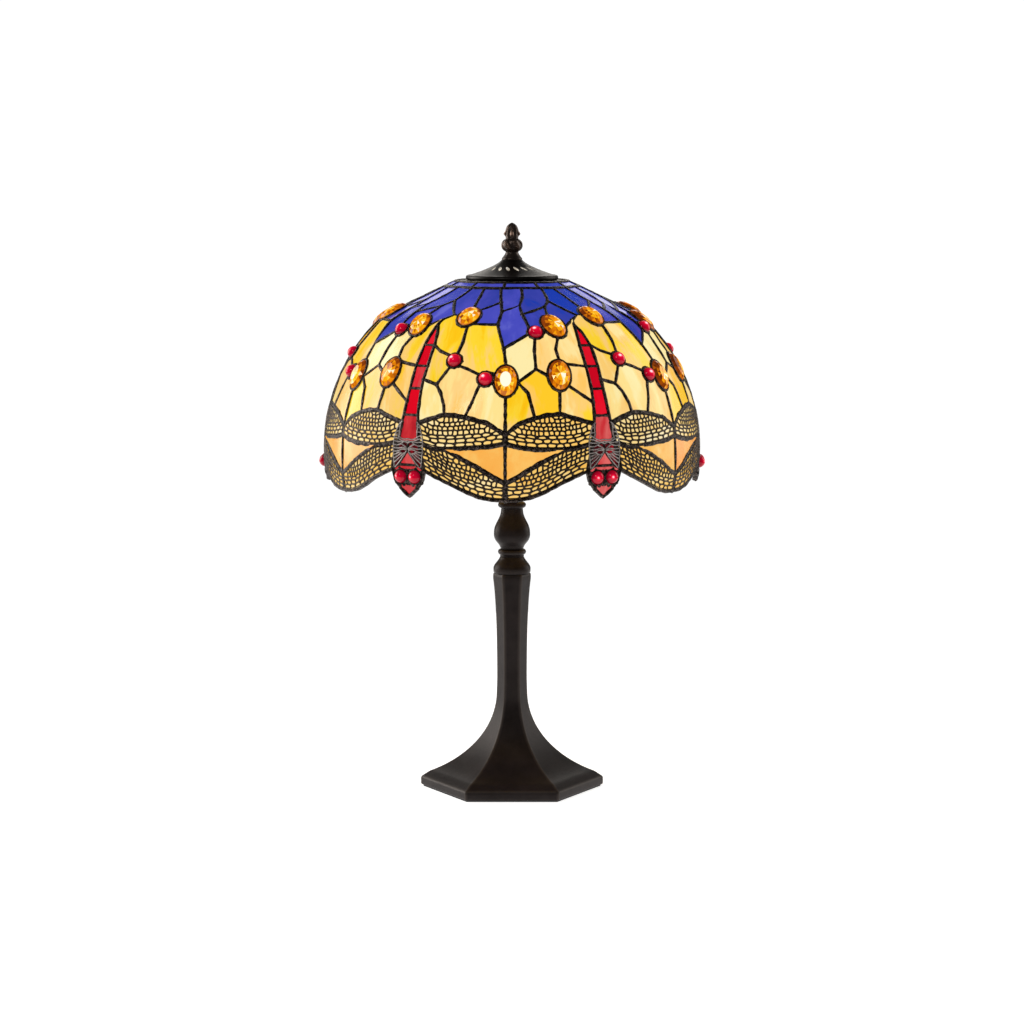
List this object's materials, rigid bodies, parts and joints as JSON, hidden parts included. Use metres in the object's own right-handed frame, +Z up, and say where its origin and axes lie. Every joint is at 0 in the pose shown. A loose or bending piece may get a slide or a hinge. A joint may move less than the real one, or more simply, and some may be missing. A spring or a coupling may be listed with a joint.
{
  "type": "stained glass table lamp",
  "caption": "Table lamp with a leaded glass dome shade of dragonflies on a six-sided bronze stand with two lampholders.",
  "frame": {"origin": "centre of the base, on the surface that the lamp stands on", "axes": "+Z up, -Y towards the front flat of the base, +X to the right seen from the front"},
  "size_m": [0.413, 0.4018, 0.6086],
  "materials": {
    "felt": "matt felt",
    "steel_dark": "black zinc, satin",
    "iron": "as cast",
    "zinc": "zinc plated",
    "bronze": "satin dark bronze, rubbed lighter on the edges",
    "black_bronze": "satin near-black bronze",
    "rubber": "matt",
    "brass_aged": "aged brass",
    "brass": "satin",
    "ceramic": "glazed ceramic",
    "bulb_metal": "satin",
    "bulb_glass": "frosted warm white",
    "bulb_stem": "glowing",
    "solder": "lumpy solder with a black bronze patina",
    "filigree": "pierced brass sheet with dark patina",
    "blue_glass": "cobalt and violet art glass",
    "gold_glass": "streaky gold art glass",
    "cream_glass": "streaky cream and amber art glass",
    "peach_glass": "streaky peach and orange art glass",
    "red_glass": "ruby red art glass",
    "dull_red_glass": "soft red art glass",
    "wing_glass": "cream and amber art glass",
    "amber": "faceted, glossy",
    "ruby": "smooth, glossy"
  },
  "bodies": {
    "stand": {"felt_pad": "felt", "bottom_cover": "steel_dark", "cover_screws": "zinc", "ballast_weight": "iron", "stand_casting": "bronze", "cord_bush": "rubber", "lower_pipe": "zinc", "base_nut": "zinc", "base_washer": "zinc", "neck_collar": "bronze", "turned_spindle": "bronze", "sleeve_tube": "bronze", "cluster_hub": "brass_aged", "hub_lid": "brass_aged", "holder_arms": "brass_aged", "holder_cap_front": "bronze", "holder_cap_rear": "bronze", "holder_shell_front": "bronze", "holder_shell_rear": "bronze", "screw_shell_front": "brass", "screw_shell_rear": "brass", "holder_insulators": "ceramic", "holder_contacts": "brass", "holder_ring_front": "bronze", "holder_ring_rear": "bronze", "upper_rod": "zinc", "rest_nut": "zinc", "rest_washer": "zinc"},
    "shade": {"shade_spider": "brass_aged", "shade_ring": "brass_aged", "band_panes": "blue_glass", "blue_panes": "blue_glass", "gold_panes": "gold_glass", "cream_panes": "cream_glass", "peach_panes": "peach_glass", "tail_panes": "red_glass", "body_panes": "dull_red_glass", "upper_wing_panes": "wing_glass", "lower_wing_panes": "wing_glass", "upper_filigree": "filigree", "lower_filigree": "filigree", "thorax_lace": "filigree", "amber_jewels": "amber", "ruby_stones": "ruby", "dragonfly_eyes": "ruby", "upper_leads": "solder", "middle_leads": "solder", "lower_leads": "solder", "heat_cap": "black_bronze"},
    "finial_insert": {"finial_insert": "brass"},
    "finial": {"finial": "black_bronze"},
    "bulb_front": {"bulb_cap_front": "bulb_metal", "bulb_glass_front": "bulb_glass", "bulb_stem_front": "bulb_stem"},
    "bulb_rear": {"bulb_cap_rear": "bulb_metal", "bulb_glass_rear": "bulb_glass", "bulb_stem_rear": "bulb_stem"}
  },
  "joints": [
    {"name": "shade_swivel", "type": "hinge", "parent": "stand", "child": "shade", "pos_m": [0, 0, 0.543], "axis": [0, 0, 1], "continuous": true},
    {"name": "finial_rise", "type": "slide", "parent": "stand", "child": "finial_insert", "axis": [0, 0, 1], "range_m": [0, 0.0105]},
    {"name": "finial_turn", "type": "hinge", "parent": "finial_insert", "child": "finial", "pos_m": [0, 0, 0.575], "axis": [0, 0, 1], "range_deg": [0, 2520]},
    {"name": "bulb_front_turn", "type": "hinge", "parent": "stand", "child": "bulb_front", "pos_m": [0, -0.06, 0.44], "axis": [0, -1, 0], "range_deg": [0, 900]},
    {"name": "bulb_rear_turn", "type": "hinge", "parent": "stand", "child": "bulb_rear", "pos_m": [0, 0.06, 0.44], "axis": [0, 1, 0], "range_deg": [0, 900]}
  ],
  "couplings": [
    {"joint": "finial_turn", "follows": "finial_rise", "rad_per_m": 4188.8}
  ]
}
